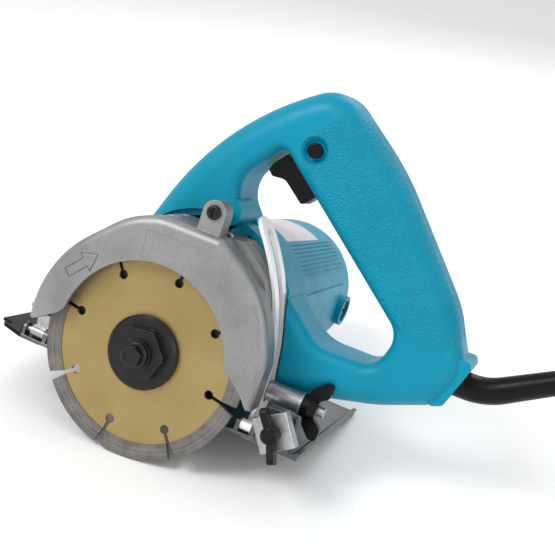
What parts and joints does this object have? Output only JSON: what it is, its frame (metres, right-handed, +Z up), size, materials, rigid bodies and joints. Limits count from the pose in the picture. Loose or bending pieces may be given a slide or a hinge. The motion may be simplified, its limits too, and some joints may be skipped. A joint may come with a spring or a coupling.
{
  "type": "trim saw",
  "caption": "Hand-held diamond trim saw with a D-handle, a blade guard, a motor and a slotted base set for depth and bevel.",
  "frame": {"origin": "centre of the part's box on the floor, without the cord, its guard and its plug", "axes": "+Z up from the floor the saw rests on; +X towards the handle and cord; +Y from the blade towards the motor"},
  "size_m": [0.4828, 0.2146, 0.1887],
  "materials": {
    "cast_silver": "cast and lacquered",
    "teal_shell": "satin, grained on the grip",
    "gold_steel": "lacquered",
    "sintered": "sintered, gritty",
    "black_oxide": "black oxide",
    "zinc_steel": "zinc plated",
    "dark_steel": "rolled",
    "gear_steel": "machined",
    "iron_core": "laminated",
    "copper": "enamelled wire",
    "black_plastic": "moulded",
    "grey_plastic": "moulded",
    "label": "film",
    "black_rubber": "moulded",
    "nickel": "plated",
    "carbon": "pressed carbon"
  },
  "bodies": {
    "saw": {"gear_housing": "cast_silver", "housing_screws": "zinc_steel", "blade_case": "cast_silver", "case_screws": "zinc_steel", "crown_screw": "zinc_steel", "bearing_retainer": "zinc_steel", "retainer_screws": "zinc_steel", "spindle_bearings": "gear_steel", "motor_housing": "teal_shell", "brush_caps": "black_plastic", "brush_holders": "grey_plastic", "carbon_brushes": "carbon", "brush_springs": "gear_steel", "baffle_plate": "grey_plastic", "field_stator": "iron_core", "field_coils": "copper", "armature_bearings": "gear_steel", "name_label": "label", "handle_near": "teal_shell", "handle_far": "teal_shell", "handle_screws": "zinc_steel", "trigger_pin": "gear_steel", "trigger_spring": "gear_steel", "switch_body": "black_plastic", "depth_pin": "gear_steel", "depth_bolt": "zinc_steel", "clamp_collar": "zinc_steel", "clamp_washer": "zinc_steel", "cord_clamp": "zinc_steel", "cord_guard": "black_rubber", "cord": "black_rubber", "cord_coil": "black_rubber", "plug": "black_rubber", "plug_pins": "nickel"},
    "spindle": {"spindle": "gear_steel", "spindle_gear": "gear_steel", "inner_flange": "black_oxide", "outer_flange": "black_oxide", "bolt_washer": "black_oxide", "blade_bolt": "black_oxide", "blade_core": "gold_steel", "diamond_segments": "sintered"},
    "armature": {"armature_shaft": "gear_steel", "armature_core": "iron_core", "armature_windings": "copper", "commutator": "copper", "fan": "grey_plastic"},
    "trigger": {"trigger": "black_plastic"},
    "lock_button": {"lock_button": "black_plastic"},
    "tilt_frame": {"tilt_bracket": "zinc_steel", "depth_guide": "zinc_steel", "bevel_bolt": "zinc_steel"},
    "base": {"base_plate": "dark_steel", "rule_nut": "zinc_steel", "tilt_pins": "zinc_steel"},
    "bevel_nut": {"bevel_nut": "black_plastic"},
    "depth_nut": {"depth_nut": "black_plastic"},
    "rule_screw": {"rule_screw": "black_plastic"},
    "rule_saddle": {"rule_saddle": "zinc_steel"}
  },
  "joints": [
    {"name": "armature_spin", "type": "hinge", "parent": "saw", "child": "armature", "pos_m": [-0.02134, -0.02209, 0.06524], "axis": [-0.02, 0.9756, -0.2188], "continuous": true},
    {"name": "spindle_spin", "type": "hinge", "parent": "saw", "child": "spindle", "pos_m": [-0.03137, -0.08634, 0.05393], "axis": [-0.02, 0.9756, -0.2188], "continuous": true},
    {"name": "trigger_pull", "type": "hinge", "parent": "saw", "child": "trigger", "pos_m": [0.01449, -0.02139, 0.15649], "axis": [0.02, -0.9756, 0.2188], "range_deg": [0, 9], "stiffness_Nm_per_rad": 0.6, "springref_deg": -5.73, "deforming": ["trigger_spring"]},
    {"name": "lock_button_push", "type": "slide", "parent": "saw", "child": "lock_button", "axis": [-0.02, 0.9756, -0.2188], "range_m": [0, 0.0016], "stiffness_N_per_m": 500, "springref_m": -0.001},
    {"name": "depth_swing", "type": "hinge", "parent": "saw", "child": "tilt_frame", "pos_m": [-0.09269, -0.07832, 0.05875], "axis": [-0.02, 0.9756, -0.2188], "range_deg": [0, 33]},
    {"name": "bevel_tilt", "type": "hinge", "parent": "tilt_frame", "child": "base", "pos_m": [-0.03294, -0.08254, 0.03674], "axis": [-0.9958, 0, 0.091], "range_deg": [0, 45]},
    {"name": "bevel_nut_turn", "type": "hinge", "parent": "tilt_frame", "child": "bevel_nut", "pos_m": [-0.10415, -0.06535, 0.04863], "axis": [-0.9958, 0, 0.091], "range_deg": [0, 360]},
    {"name": "depth_nut_turn", "type": "hinge", "parent": "saw", "child": "depth_nut", "pos_m": [0.05298, -0.06606, 0.04297], "axis": [0.9958, 0, -0.091], "range_deg": [0, 95]},
    {"name": "rule_screw_turn", "type": "hinge", "parent": "base", "child": "rule_screw", "pos_m": [0.04531, -0.09807, 0.04031], "axis": [-0.02, 0.9756, -0.2188], "range_deg": [0, 360]},
    {"name": "rule_saddle_turn", "type": "hinge", "parent": "base", "child": "rule_saddle", "pos_m": [0.04521, -0.0932, 0.03922], "axis": [-0.02, 0.9756, -0.2188], "range_deg": [-90, 90]}
  ],
  "couplings": [
    {"joint": "spindle_spin", "follows": "armature_spin", "ratio": -0.57143}
  ]
}
